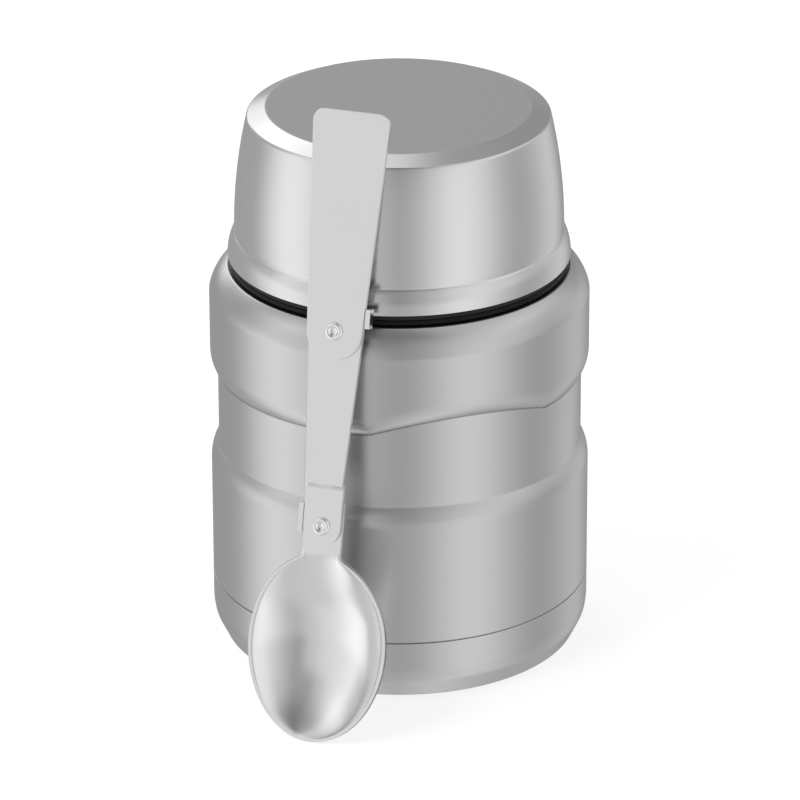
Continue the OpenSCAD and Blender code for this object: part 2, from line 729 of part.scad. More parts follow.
module handle_drawing() {
    corner_x = handle_high_w / 2 - handle_corner_r;
    translate([0, upper_rivet_s]) circle(r = handle_end_r);
    for (x = [-corner_x, corner_x]) translate([x, handle_corner_s]) circle(r = handle_corner_r);
    polygon([[-handle_end_r, upper_rivet_s], [handle_end_r, upper_rivet_s],
             [handle_high_w / 2, handle_corner_s], [corner_x, handle_corner_s], [corner_x, spoon_len],
             [-corner_x, spoon_len], [-corner_x, handle_corner_s], [-handle_high_w / 2, handle_corner_s]]);
}

module spoon_handle() {
    color(bright_steel) on_spoon() difference() {
        plate(-spoon_t) handle_drawing();
        rivet_hole(upper_rivet_s, rivet_running);
    }
}

// A rivet with a domed head at each end of its shank, from y = front to y = back
module rivet(s, front, back) {
    color(steel) on_spoon() translate([0, 0, s]) rotate([90, 0, 0]) rotate_extrude() polygon(concat(
        [[0, -back - rivet_head_h]],
        [for (i = [1:5]) [rivet_head_r * sin(18 * i), -back - rivet_head_h * cos(18 * i)]],
        [[rivet_r, -back], [rivet_r, -front]],
        [for (i = [5:-1:1]) [rivet_head_r * sin(18 * i), -front + rivet_head_h * cos(18 * i)]],
        [[0, -front + rivet_head_h]]));
}

module lower_rivet() {
    rivet(lower_rivet_s, lobe_y, tang_y + spoon_t);
}

module upper_rivet() {
    rivet(upper_rivet_s, -spoon_t, link_y + spoon_t);
}

outer_shell();
base_cup();
base_cover();
vacuum_seal();
inner_vessel();
reflecting_foil();
getter_clip();
getter_pill();
stopper_cap();
stopper_plug();
stopper_foam();
stopper_gasket();
lid_seal();
lid_shell();
lid_bowl();
lid_ring();
spoon_bowl();
spoon_link();
spoon_handle();
lower_rivet();
upper_rivet();
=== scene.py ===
# %% [markdown]
# An insulated food jar, with a screw-on lid that is also a bowl and a folding spoon that leans on it.
# The CAD model already fixes every size, every place and every joint, so this script only gives the parts
# their looks. Most of the object is steel sheet that was spun, drawn and brushed on a lathe. That suggests
# the method for almost every piece here: draw half of a section, round its corners, and spin it.

import json
import math

import bmesh
import bpy
from mathutils import Matrix, Vector


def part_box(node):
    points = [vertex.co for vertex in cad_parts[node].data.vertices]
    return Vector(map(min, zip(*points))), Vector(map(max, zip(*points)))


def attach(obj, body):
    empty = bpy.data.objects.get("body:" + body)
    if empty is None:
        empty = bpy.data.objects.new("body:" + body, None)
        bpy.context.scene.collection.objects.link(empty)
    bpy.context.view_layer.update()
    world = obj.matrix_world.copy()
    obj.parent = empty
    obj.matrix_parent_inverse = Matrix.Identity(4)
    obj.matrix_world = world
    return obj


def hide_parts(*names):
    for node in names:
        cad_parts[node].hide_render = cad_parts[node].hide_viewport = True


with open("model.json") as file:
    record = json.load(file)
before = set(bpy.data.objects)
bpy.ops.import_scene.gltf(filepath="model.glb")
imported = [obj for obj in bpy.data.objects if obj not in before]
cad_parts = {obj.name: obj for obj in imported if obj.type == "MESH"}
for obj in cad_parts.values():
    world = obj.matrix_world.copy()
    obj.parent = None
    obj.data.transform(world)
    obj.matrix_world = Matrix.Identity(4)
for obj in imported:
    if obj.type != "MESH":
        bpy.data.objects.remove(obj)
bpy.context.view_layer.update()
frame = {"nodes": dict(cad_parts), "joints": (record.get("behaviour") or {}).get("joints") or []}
MM = 0.001
joints = {joint["name"]: joint for joint in frame["joints"]}
print("Joints:", sorted(joints))

# %% [markdown]
# The camera comes first, because every later choice is judged through it. The photograph was taken with a
# long lens from a little above, so the jar's upright sides stay almost parallel. The values below were fitted
# to the round edges of the jar, which a camera sees as ellipses.

# %% Camera
IMAGE_SIDE = 800
SENSOR = 36
FOCAL_LENGTH_IN_PIXELS = 5826
CAMERA_PLACE = Vector((0, -1.34207, 0.65354))
CAMERA_AIM = Vector((0.00006, 0.914746, -0.404028)).normalized()
CAMERA_ROLL = math.radians(-0.162)

camera_data = bpy.data.cameras.new("studio_camera")
camera_data.sensor_width = SENSOR
camera_data.lens = SENSOR * FOCAL_LENGTH_IN_PIXELS / IMAGE_SIDE
camera_data.clip_start = 0.05
camera = bpy.data.objects.new("studio_camera", camera_data)
level_right = CAMERA_AIM.cross(Vector((0, 0, 1))).normalized()
level_up = level_right.cross(CAMERA_AIM)
camera_right = level_right * math.cos(CAMERA_ROLL) + level_up * math.sin(CAMERA_ROLL)
camera_up = camera_right.cross(CAMERA_AIM)
turn = Matrix((camera_right, camera_up, -CAMERA_AIM)).transposed()
camera.matrix_world = Matrix.Translation(CAMERA_PLACE) @ turn.to_4x4()
bpy.context.scene.collection.objects.link(camera)
bpy.context.scene.camera = camera
print("Lens in mm:", round(camera_data.lens, 1))

# %% [markdown]
# A material is a small network of nodes. A few short helpers keep the recipes readable. They add a node and
# set its values, start a material, do a sum, and turn a factor from 0 to 1 into a range of numbers or of
# colours.

# %% Helpers for materials
def add(tree, kind, inputs=None, **settings):
    node = tree.nodes.new(kind)
    for setting, value in settings.items():
        setattr(node, setting, value)
    for socket, value in (inputs or {}).items():
        if isinstance(value, bpy.types.NodeSocket):
            tree.links.new(value, node.inputs[socket])
        else:
            node.inputs[socket].default_value = value
    return node


def start_material(name, colour, metallic, roughness):
    material = bpy.data.materials.new(name)
    material.use_nodes = True
    tree = material.node_tree
    shader = tree.nodes["Principled BSDF"]
    shader.inputs["Base Color"].default_value = (*colour, 1)
    shader.inputs["Metallic"].default_value = metallic
    shader.inputs["Roughness"].default_value = roughness
    return material, tree, shader


def maths(tree, operation, first, second=0.0):
    return add(tree, "ShaderNodeMath", {0: first, 1: second}, operation=operation).outputs["Value"]


def vary(tree, factor, low, high):
    """A number that runs from low to high as the factor runs from 0 to 1."""
    return add(tree, "ShaderNodeMapRange", {"Value": factor, "To Min": low, "To Max": high}).outputs["Result"]


def vary_colour(tree, factor, colour, spread):
    """A colour that gets lighter and darker by the given share."""
    ramp = add(tree, "ShaderNodeValToRGB", {"Fac": factor})
    ramp.color_ramp.elements[0].color = (*[channel * (1 - spread) for channel in colour], 1)
    ramp.color_ramp.elements[1].color = (*[channel * (1 + spread) for channel in colour], 1)
    return ramp.outputs["Color"]


# %% [markdown]
# The jar and its lid are brushed while they turn on a lathe, so the fine scratches run round the axis. On an
# upright wall a scratch keeps one height, and on a flat top it keeps one radius. The value height minus
# radius changes across the scratches on both, so a noise that is stretched along everything else and fine
# along that value gives scratches that run round the piece wherever they are.

# %% Steel brushed on the lathe
GRAIN_LINES_PER_METRE = 3000
GRAIN_STRETCH = 18


def lathe_grain(tree):
    place = add(tree, "ShaderNodeTexCoord").outputs["Object"]
    axes = add(tree, "ShaderNodeSeparateXYZ", {0: place})
    flat = add(tree, "ShaderNodeCombineXYZ", {"X": axes.outputs["X"], "Y": axes.outputs["Y"]})
    radius = add(tree, "ShaderNodeVectorMath", {0: flat.outputs["Vector"]}, operation="LENGTH")
    across = maths(tree, "SUBTRACT", axes.outputs["Z"], radius.outputs["Value"])
    stretched = add(tree, "ShaderNodeCombineXYZ", {
        "X": maths(tree, "MULTIPLY", axes.outputs["X"], GRAIN_STRETCH),
        "Y": maths(tree, "MULTIPLY", axes.outputs["Y"], GRAIN_STRETCH),
        "Z": maths(tree, "MULTIPLY", across, GRAIN_LINES_PER_METRE),
    })
    noise = add(tree, "ShaderNodeTexNoise", {"Vector": stretched.outputs["Vector"], "Scale": 1.0,
                                             "Detail": 3.0, "Roughness": 0.6})
    return noise.outputs["Fac"]


def cloudiness(tree, size, detail=2.0):
    """A soft, slow unevenness, with patches of about the given size in metres."""
    place = add(tree, "ShaderNodeTexCoord").outputs["Object"]
    noise = add(tree, "ShaderNodeTexNoise", {"Vector": place, "Scale": 1 / size, "Detail": detail})
    return noise.outputs["Fac"]


def lathe_brushed_steel(name, colour, roughness, relief):
    material, tree, shader = start_material(name, colour, 1.0, roughness)
    grain = lathe_grain(tree)
    clouds = cloudiness(tree, size=0.03)
    mean = maths(tree, "MULTIPLY", maths(tree, "ADD", grain, clouds), 0.5)
    tree.links.new(vary(tree, mean, roughness * 0.96, roughness * 1.04), shader.inputs["Roughness"])
    tree.links.new(vary_colour(tree, grain, colour, 0.015), shader.inputs["Base Color"])
    bump = add(tree, "ShaderNodeBump", {"Height": grain, "Strength": relief, "Distance": 0.00002})
    tree.links.new(bump.outputs["Normal"], shader.inputs["Normal"])
    return material


body_finish = lathe_brushed_steel("satin_body_steel", (0.57, 0.57, 0.575), roughness=0.28, relief=0.02)
lid_finish = lathe_brushed_steel("satin_lid_steel", (0.67, 0.67, 0.675), roughness=0.18, relief=0.08)
inner_finish = lathe_brushed_steel("bright_inner_steel", (0.63, 0.63, 0.635), roughness=0.24, relief=0.15)
print("Steel finishes made:", body_finish.name, lid_finish.name, inner_finish.name)

# %% [markdown]
# The spoon is pressed from sheet and then tumbled until it is smooth. It has no brushing lines, only a soft
# haze and a few fine marks in all directions. The rivets are the brightest metal on the object.

# %% Tumbled steel
def tumbled_steel(name, colour, roughness, relief):
    material, tree, shader = start_material(name, colour, 1.0, roughness)
    haze = cloudiness(tree, size=0.012, detail=4.0)
    marks = cloudiness(tree, size=0.0007, detail=3.0)
    tree.links.new(vary(tree, haze, roughness - 0.04, roughness + 0.04), shader.inputs["Roughness"])
    tree.links.new(vary_colour(tree, haze, colour, 0.02), shader.inputs["Base Color"])
    bump = add(tree, "ShaderNodeBump", {"Height": marks, "Strength": relief, "Distance": 0.00001})
    tree.links.new(bump.outputs["Normal"], shader.inputs["Normal"])
    return material


spoon_finish = tumbled_steel("tumbled_spoon_steel", (0.82, 0.82, 0.82), roughness=0.2, relief=0.2)
rivet_finish = tumbled_steel("bright_rivet_steel", (0.85, 0.85, 0.85), roughness=0.12, relief=0.1)
print("Steel finishes made:", spoon_finish.name, rivet_finish.name)

# %% [markdown]
# The stopper and the threaded ring in the lid are moulded in black plastic, and the seals are rubber and
# silicone. A moulded surface is not perfectly even: it has a very fine spark-eroded grain, and a slight
# change of gloss from place to place. The same recipe, with other colours and sizes, gives all of them. The
# black plastic and the rubber are matt and mirror very little, so that the gap under the lid stays dark.

# %% Moulded plastics, rubber and foam
def moulded(name, colour, roughness, grain_size, relief, shine=0.5):
    material, tree, shader = start_material(name, colour, 0.0, roughness)
    shader.inputs["Specular IOR Level"].default_value = shine
    grain = cloudiness(tree, grain_size, detail=3.0)
    clouds = cloudiness(tree, size=0.015)
    tree.links.new(vary(tree, clouds, roughness - 0.06, roughness + 0.06), shader.inputs["Roughness"])
    tree.links.new(vary_colour(tree, clouds, colour, 0.12), shader.inputs["Base Color"])
    bump = add(tree, "ShaderNodeBump", {"Height": grain, "Strength": relief, "Distance": 0.00003})
    tree.links.new(bump.outputs["Normal"], shader.inputs["Normal"])
    return material


black_finish = moulded("black_moulded_plastic", (0.008, 0.008, 0.009), roughness=0.42, grain_size=0.0006,
                       relief=0.3, shine=0.15)
rubber_finish = moulded("dark_rubber", (0.03, 0.03, 0.032), roughness=0.6, grain_size=0.0004, relief=0.4,
                        shine=0.2)
silicone_finish = moulded("pale_silicone", (0.55, 0.55, 0.54), roughness=0.5, grain_size=0.001, relief=0.2)
foam_finish = moulded("white_foam", (0.82, 0.80, 0.74), roughness=0.9, grain_size=0.0012, relief=1.0)
glaze_finish = moulded("dark_glaze", (0.06, 0.06, 0.065), roughness=0.25, grain_size=0.002, relief=0.2)
foil_finish = lathe_brushed_steel("copper_foil", (0.80, 0.50, 0.38), roughness=0.2, relief=0.2)
print("Other finishes made:", black_finish.name, rubber_finish.name, silicone_finish.name)

# %% [markdown]
# A lathe needs only half of a section. The helper below puts a few points in the plane y = 0, rounds the
# corners that ask for it with a vertex bevel, and spins the line round the Z axis. Each point of a section is
# a radius, a height and the rounding of its corner, in mm. A section that starts and ends on the axis gives
# many points in one place, so doubles are merged, and the normals are worked out again, because a spin can
# leave them pointing inwards.

# %% Spin a section
TURNS = 192


def section_line(bm, outline, closed):
    verts = [bm.verts.new((radius * MM, 0, height * MM)) for radius, height, _ in outline]
    pairs = list(zip(verts, verts[1:])) + ([(verts[-1], verts[0])] if closed else [])
    for pair in pairs:
        bm.edges.new(pair)
    for vert, (_, _, rounding) in zip(verts, outline):
        if rounding:
            bmesh.ops.bevel(bm, geom=[vert], offset=rounding * MM, offset_type="OFFSET", segments=4,
                            profile=0.5, affect="VERTICES", material=-1)


def spun(outline, closed=True, turns=TURNS):
    bm = bmesh.new()
    section_line(bm, outline, closed)
    bmesh.ops.spin(bm, geom=bm.verts[:] + bm.edges[:], cent=(0, 0, 0), axis=(0, 0, 1), dvec=(0, 0, 0),
                   angle=2 * math.pi, steps=turns, use_merge=True, use_duplicate=False)
    bmesh.ops.remove_doubles(bm, verts=bm.verts[:], dist=0.002 * MM)
    bmesh.ops.recalc_face_normals(bm, faces=bm.faces[:])
    return bm


def keep(bm, name, body, nodes, finish):
    """Turns a finished bmesh into a piece that rides on a body and stands for CAD nodes."""
    mesh = bpy.data.meshes.new(name)
    bm.to_mesh(mesh)
    bm.free()
    mesh.shade_smooth()
    mesh.materials.append(finish)
    piece = bpy.data.objects.new(name, mesh)
    bpy.context.scene.collection.objects.link(piece)
    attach(piece, body)
    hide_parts(*nodes)
    print(name, "faces:", len(mesh.polygons), "stands for", ", ".join(nodes))
    return piece


def weigh_normals(piece):
    """Lets the large faces decide the shading, so that flats stay flat beside their rounded edges."""
    weights = piece.modifiers.new("weighted_normals", "WEIGHTED_NORMAL")
    weights.mode = "FACE_AREA"
    weights.weight = 50
    weights.keep_sharp = True
    return piece


# %% [markdown]
# The body is steel sheet, 0.6 mm thick. A sheet's section is its outer line and the same line moved inwards
# by the thickness. Each point moves along the mean of the two normals beside it, which keeps the thickness
# even round the bends. The curves at the waist and the shoulder are arcs that leave an upright wall.

# %% Sections of sheet metal
def moved_in(points, thickness):
    moved = []
    for i, (radius, height, rounding) in enumerate(points):
        before = points[max(i, 1) - 1], points[max(i, 1)]
        after = points[min(i, len(points) - 2)], points[min(i, len(points) - 2) + 1]
        normals = [Vector((a[1] - b[1], b[0] - a[0])).normalized() for a, b in (before, after)]
        shift = thickness * (normals[0] + normals[1]) / (1 + normals[0].dot(normals[1]))
        moved.append((max(0, radius + shift.x), height + shift.y, rounding))
    return moved


def sheet_section(points, thickness):
    return points + moved_in(points, thickness)[::-1]


def bulge(start, end, steps=9, lean=0):
    """Points of an arc from start to end that leaves start at a lean from upright."""
    (r0, z0), (r1, z1) = start, end
    fall, rise = r0 - r1, z1 - z0
    half_turn = math.atan2(fall, abs(rise)) - lean
    radius = math.hypot(fall, rise) / (2 * math.sin(half_turn))
    turns = [lean + 2 * half_turn * i / steps for i in range(steps + 1)]
    climb = math.copysign(radius, rise)
    return [(r0 - radius * (math.cos(lean) - math.cos(turn)),
             z0 + climb * (math.sin(turn) - math.sin(lean)), 0) for turn in turns]


def rounded(points, index, rounding):
    points[index] = (*points[index][:2], rounding)
    return points


# %% [markdown]
# The body shell runs from the seam near the foot to the mouth. Its waist is drawn in by 1.9 mm. On the front
# right the waist's upper edge rises in a flat arch over a plain panel. The arch is made after the spin: each
# point moves up by the height of the arch at its direction, by all of it at the crease, and by less and less
# towards the bands above and below. A fine groove under the upper curve keeps the crease dark, as it is where
# the sheet was pressed against the edge of the tool. The shoulder ends in a low rim beside the stopper's
# flange, which catches the light as a thin bright line.

# %% Body shell
BODY_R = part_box("outer_shell")[1].x / MM
SEAM_TOP_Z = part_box("outer_shell")[0].z / MM
NECK_TOP_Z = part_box("outer_shell")[1].z / MM
SHELL_T = 0.6
WAIST_R = BODY_R - 1.9
LOWER_WALL_TOP_Z = 46.5
WAIST_LOW_Z = 51.9
WAIST_HIGH_Z = 71.2
GROOVE = 0.3
BAND_LOW_Z = 76.6
BAND_HIGH_Z = 92
SHOULDER_Z = 98.6
SHOULDER_RIM_R = BODY_R - 4.75
SHOULDER_RIM_Z = SHOULDER_Z + 0.25
SHOULDER_RIM_W = 0.5
SHOULDER_LEAN = math.radians(13)
NECK_R = 34.8
PANEL_DIRECTION = 21
PANEL_HALF_ANGLE = 30.3
PANEL_RISE = 4.1

lower_curve = bulge((BODY_R, LOWER_WALL_TOP_Z), (WAIST_R, WAIST_LOW_Z))
upper_curve = bulge((BODY_R, BAND_LOW_Z), (WAIST_R, WAIST_HIGH_Z))[::-1]
shoulder = bulge((BODY_R, BAND_HIGH_Z), (SHOULDER_RIM_R, SHOULDER_RIM_Z), steps=14, lean=SHOULDER_LEAN)
body_line = (
    [(BODY_R, SEAM_TOP_Z, 0.15)]
    + rounded(lower_curve, -1, 0.2)
    + [(WAIST_R, WAIST_HIGH_Z - GROOVE, 0), (WAIST_R - GROOVE, WAIST_HIGH_Z - GROOVE / 3, 0)]
    + upper_curve
    + rounded(rounded(shoulder, 0, 0.3), -1, 0.4)
    + [(SHOULDER_RIM_R - SHOULDER_RIM_W, SHOULDER_Z, 0), (NECK_R, SHOULDER_Z, 0.5), (NECK_R, NECK_TOP_Z, 0)]
)
shell = spun(sheet_section(body_line, SHELL_T), turns=360)


def arch_height(place):
    """How far the waist's upper edge rises in the direction of a point, in mm."""
    direction = math.degrees(math.atan2(place.x, -place.y))
    share = (direction - PANEL_DIRECTION) / PANEL_HALF_ANGLE
    return PANEL_RISE * max(0, 1 - share ** 2)


def arch_share(height):
    """How much of the rise a point takes: all of it on the upper curve, none at the far ends."""
    if height < WAIST_HIGH_Z:
        return max(0, (height - WAIST_LOW_Z) / (WAIST_HIGH_Z - WAIST_LOW_Z))
    return max(0, min(1, (BAND_HIGH_Z - height) / (BAND_HIGH_Z - BAND_LOW_Z)))


for vert in shell.verts:
    vert.co.z += arch_height(vert.co) * arch_share(vert.co.z / MM) * MM
print("Points raised for the panel:", sum(arch_height(vert.co) > 0 for vert in shell.verts))

# %% [markdown]
# The neck carries three short threads. Each is a small trapezoid spun through part of a turn, and then the
# whole arc is tilted a little, so that it climbs as it goes round. The same helper makes the threads inside
# the lid's ring and on both sides of the stopper, with the trapezoid pointing inwards or outwards.

# %% Threads
THREAD_DEPTH = 0.6
THREAD_W = 1.8
THREAD_STARTS = 3
THREAD_SWEEP = math.radians(100)
THREAD_STEPS = 36
THREAD_SLOPE = math.radians(2.3)
THREAD_BITE = 0.25


def add_threads(bm, radius, height, side):
    root, crest = radius - side * THREAD_BITE, radius + side * THREAD_DEPTH
    corners = [(root, -THREAD_W / 2), (crest, -THREAD_W / 5), (crest, THREAD_W / 5), (root, THREAD_W / 2)]
    for start in range(THREAD_STARTS):
        rest = set(bm.verts)
        verts = [bm.verts.new((r * MM, 0, z * MM)) for r, z in corners]
        face = bm.faces.new(verts)
        bmesh.ops.rotate(bm, verts=verts, cent=(0, 0, 0), matrix=Matrix.Rotation(-THREAD_SWEEP / 2, 3, "Z"))
        bmesh.ops.spin(bm, geom=verts + face.edges[:] + [face], cent=(0, 0, 0), axis=(0, 0, 1),
                       dvec=(0, 0, 0), angle=THREAD_SWEEP, steps=THREAD_STEPS, use_duplicate=False)
        thread = [vert for vert in bm.verts if vert not in rest]
        turn_about_axis = Matrix.Rotation(start * 2 * math.pi / THREAD_STARTS, 4, "Z")
        lift = Matrix.Translation((0, 0, height * MM))
        bmesh.ops.transform(bm, verts=thread,
                            matrix=lift @ turn_about_axis @ Matrix.Rotation(THREAD_SLOPE, 4, "X"))
        bmesh.ops.recalc_face_normals(bm, faces=list({f for vert in thread for f in vert.link_faces}))


add_threads(shell, NECK_R, (SHOULDER_Z + NECK_TOP_Z) / 2, side=1)
weigh_normals(keep(shell, "body_shell_steel", "body", ["outer_shell"], body_finish))

# %% [markdown]
# The base cup closes the body from below. It meets the shell at a fine seam, with a lap behind it that keeps
# the seam dark, and its lower edge tapers to the ring that the jar stands on. The round plate in its middle
# covers the place where the air was drawn out.

# %% Base cup and cover plate
BASE_T = 0.55
LAP_H = 2.5
LAP_R = 46.85
LAP_TOP_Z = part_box("base_cup")[1].z / MM
SEAM_W = 0.15
SEAM_LOW_Z = LAP_TOP_Z - LAP_H - SEAM_W
TAPER_R = 47.1
TAPER_Z = 5.3
TAPER_END_Z = 8
FOOT_OUT_R = 44.5
FOOT_IN_R = 41.5
UNDERSIDE_R = 40.3
UNDERSIDE_Z = 1.6
SEAT_R = 14
SEAT_Z = 2.2
SEAT_SLOPE = 0.4
DIMPLE_R = 7.5
DIMPLE_Z = 3.8
DIMPLE_SLOPE = 0.6
AIR_HOLE_R = 0.8
COVER_R = 13.9

base_line = [
    (AIR_HOLE_R, DIMPLE_Z, 0), (DIMPLE_R, DIMPLE_Z, 0.5), (DIMPLE_R + DIMPLE_SLOPE, SEAT_Z, 0.5),
    (SEAT_R, SEAT_Z, 0.3), (SEAT_R + SEAT_SLOPE, UNDERSIDE_Z, 0.3), (UNDERSIDE_R, UNDERSIDE_Z, 0.5),
    (FOOT_IN_R, 0, 0.5), (FOOT_OUT_R, 0, 0.5), (TAPER_R, TAPER_Z, 0.8), (BODY_R, TAPER_END_Z, 0.8),
    (BODY_R, SEAM_LOW_Z, 0.15), (LAP_R, SEAM_LOW_Z, 0), (LAP_R, LAP_TOP_Z, 0),
]
base = spun(sheet_section(base_line, BASE_T))
weigh_normals(keep(base, "base_cup_steel", "body", ["base_cup"], body_finish))
cover_line = [(0, SEAT_Z, 0), (0, UNDERSIDE_Z, 0), (COVER_R, UNDERSIDE_Z, 0.25), (COVER_R, SEAT_Z, 0.1)]
cover = spun(cover_line, closed=False)
weigh_normals(keep(cover, "base_cover_plate", "body", ["base_cover"], body_finish))

# %% [markdown]
# The inner vessel holds the food. It is drawn in one piece from a flat floor to the mouth, with soft curves
# that a spoon can follow, and it hangs from a welded lip at the top of the neck.

# %% Inner vessel
LINER_T = 0.5
LINER_R = 41.5
LINER_NECK_R = 33
LINER_BEND = 8.2
LINER_SHOULDER_Z = 84.1
LINER_NECK_Z = 95.1
LINER_BOTTOM_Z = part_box("inner_vessel")[0].z / MM
LIP_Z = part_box("inner_vessel")[1].z / MM


def ease(start, end, steps=14):
    """Points of a smooth S between two points, upright at both ends."""
    (r0, z0), (r1, z1) = start, end
    return [(r0 + (r1 - r0) * (1 - math.cos(math.pi * i / steps)) / 2, z0 + (z1 - z0) * i / steps, 0)
            for i in range(steps + 1)]


vessel_line = (
    [(0, LINER_BOTTOM_Z, 0), (LINER_R, LINER_BOTTOM_Z, LINER_BEND)]
    + ease((LINER_R, LINER_SHOULDER_Z), (LINER_NECK_R, LINER_NECK_Z))
    + [(LINER_NECK_R, NECK_TOP_Z, 0)]
)
inner_line = moved_in(vessel_line, LINER_T)
inner_line[-1] = (LINER_NECK_R - LINER_T, LIP_Z, 0.25)
lip_line = [(NECK_R, NECK_TOP_Z, 0.15), (NECK_R, LIP_Z, 0.3)]
vessel = spun(vessel_line + lip_line + inner_line[::-1], closed=False)
weigh_normals(keep(vessel, "inner_vessel_steel", "body", ["inner_vessel"], inner_finish))

# %% [markdown]
# The stopper is a cap of black plastic with threads inside and outside. Its flange shows as the black line
# between the lid and the shoulder, and the tray on its top takes the folded spoon. A plug with a foam core
# hangs into the mouth and keeps the heat in.

# %% Stopper
SKIRT_IN_R = 36.25
SKIRT_OUT_R = 37.65
FLANGE_R = 42.05
FLANGE_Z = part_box("stopper_cap")[0].z / MM
FLANGE_TOP_Z = FLANGE_Z + 1.3
SKIRT_TOP_Z = 112.9
CEILING_Z = 114.5
TRAY_FLOOR_Z = 116.1
TRAY_TOP_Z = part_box("stopper_cap")[1].z / MM
TRAY_OUT_R = 36.05
TRAY_IN_R = 34.65
LID_LOW_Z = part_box("lid_shell")[0].z / MM
RING_TOP_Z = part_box("lid_ring")[1].z / MM

stopper_line = [
    (0, CEILING_Z, 0), (SKIRT_IN_R, CEILING_Z, 1.0), (SKIRT_IN_R, FLANGE_Z, 0.3), (FLANGE_R, FLANGE_Z, 0.3),
    (FLANGE_R, FLANGE_TOP_Z, 0.3), (SKIRT_OUT_R, FLANGE_TOP_Z, 0.2), (SKIRT_OUT_R, SKIRT_TOP_Z, 1.2),
    (TRAY_OUT_R, TRAY_FLOOR_Z, 1.2), (TRAY_OUT_R, TRAY_TOP_Z, 0.6), (TRAY_IN_R, TRAY_TOP_Z, 0.6),
    (TRAY_IN_R, TRAY_FLOOR_Z, 1.5), (0, TRAY_FLOOR_Z, 0),
]
cap = spun(stopper_line, closed=False)
add_threads(cap, SKIRT_IN_R, (SHOULDER_Z + NECK_TOP_Z) / 2, side=-1)
add_threads(cap, SKIRT_OUT_R, (LID_LOW_Z + RING_TOP_Z) / 2, side=1)
weigh_normals(keep(cap, "stopper_cap_plastic", "stopper", ["stopper_cap"], black_finish))

PLUG_R = 31.8
PLUG_T = 1.4
PLUG_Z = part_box("stopper_plug")[0].z / MM
plug_line = [
    (0, PLUG_Z, 0), (PLUG_R, PLUG_Z, 2.5), (PLUG_R, CEILING_Z, 0), (PLUG_R - PLUG_T, CEILING_Z, 0),
    (PLUG_R - PLUG_T, PLUG_Z + PLUG_T, 1.5), (0, PLUG_Z + PLUG_T, 0),
]
plug = spun(plug_line, closed=False)
weigh_normals(keep(plug, "stopper_plug_plastic", "stopper", ["stopper_plug"], black_finish))

# %% [markdown]
# Two soft rings seal the jar. The pale silicone one presses on the lip of the mouth, and the dark rubber one
# sits under the lid's edge, where it shows as the grey line above the black flange. The silicone ring stays
# still while the stopper turns, so a hair's breadth is left between it and the stopper's ceiling.

# %% Seals
HAIR = 0.02
GASKET_IN_R = 32
GASKET_LEG_R = 32.3
GASKET_OUT_R = 35.75
GASKET_LOW_Z = 111.4
gasket_line = [
    (GASKET_IN_R, GASKET_LOW_Z, 0.1), (GASKET_LEG_R, GASKET_LOW_Z, 0.1), (GASKET_LEG_R, LIP_Z, 0.2),
    (GASKET_OUT_R, LIP_Z, 0.5), (GASKET_OUT_R, CEILING_Z - HAIR, 0.5), (GASKET_IN_R, CEILING_Z - HAIR, 0.3),
]
weigh_normals(keep(spun(gasket_line), "stopper_gasket_silicone", "stopper_carrier", ["stopper_gasket"],
                   silicone_finish))

SEAL_IN_R = 38.65
seal_line = [(SEAL_IN_R, FLANGE_TOP_Z, 0.2), (FLANGE_R, FLANGE_TOP_Z, 0.45), (FLANGE_R, LID_LOW_Z, 0.45),
             (SEAL_IN_R, LID_LOW_Z, 0.2)]
weigh_normals(keep(spun(seal_line), "lid_seal_rubber", "lid_carrier", ["lid_seal"],
                   rubber_finish))

# %% [markdown]
# The lid is two steel sheets with air between them: the outer one that shows, and the bowl inside that one
# eats from. Its side draws in very slightly in a long arc, a skirt bulges out over the rubber ring, and a
# wide bevel runs round the flat top. The skirt and the side are both arcs that leave an upright line, so they
# meet in a crisp crease. A very fine groove there makes it a thin line all round, as on the real lid.

# %% Lid
LID_T = 0.5
LID_SKIRT_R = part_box("lid_shell")[1].x / MM
LID_CREASE_R = 41.05
LID_CREASE_Z = 108
LID_GROOVE = 0.16
LID_EDGE_R = 37.6
LID_EDGE_Z = 138.15
LID_TOP_R = 32.95
LID_TOP_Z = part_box("lid_shell")[1].z / MM

lid_side = bulge((LID_CREASE_R, LID_CREASE_Z), (LID_EDGE_R, LID_EDGE_Z), steps=24)
lid_skirt = bulge((LID_SKIRT_R, LID_LOW_Z), (LID_CREASE_R, LID_CREASE_Z), steps=12)
lid_line = (
    rounded(lid_skirt, 0, 0.2)[:-1]
    + [(LID_CREASE_R, LID_CREASE_Z - LID_GROOVE, 0), (LID_CREASE_R - LID_GROOVE, LID_CREASE_Z, 0),
       (LID_CREASE_R, LID_CREASE_Z + LID_GROOVE, 0)]
    + rounded(lid_side, -1, 0.45)[1:]
    + [(LID_TOP_R, LID_TOP_Z, 0.3), (0, LID_TOP_Z, 0)]
)
lid = spun(sheet_section(lid_line, LID_T), closed=False)
weigh_normals(keep(lid, "lid_shell_steel", "lid", ["lid_shell"], lid_finish))

INNER_RIM_R = 40.45
INNER_RIM_Z = 108.5
INNER_SIDE_R = 39.65
INNER_SIDE_Z = 109.3
INNER_FLOOR_R = 37
INNER_FLOOR_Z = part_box("lid_bowl")[1].z / MM
INNER_BEND = 8.6
inner_lid_line = [(INNER_RIM_R, INNER_RIM_Z, 0), (INNER_SIDE_R, INNER_SIDE_Z, 0.4),
                  (INNER_FLOOR_R, INNER_FLOOR_Z, INNER_BEND), (0, INNER_FLOOR_Z, 0)]
inner_lid = spun(sheet_section(inner_lid_line, LID_T), closed=False)
weigh_normals(keep(inner_lid, "lid_bowl_steel", "lid", ["lid_bowl"], inner_finish))

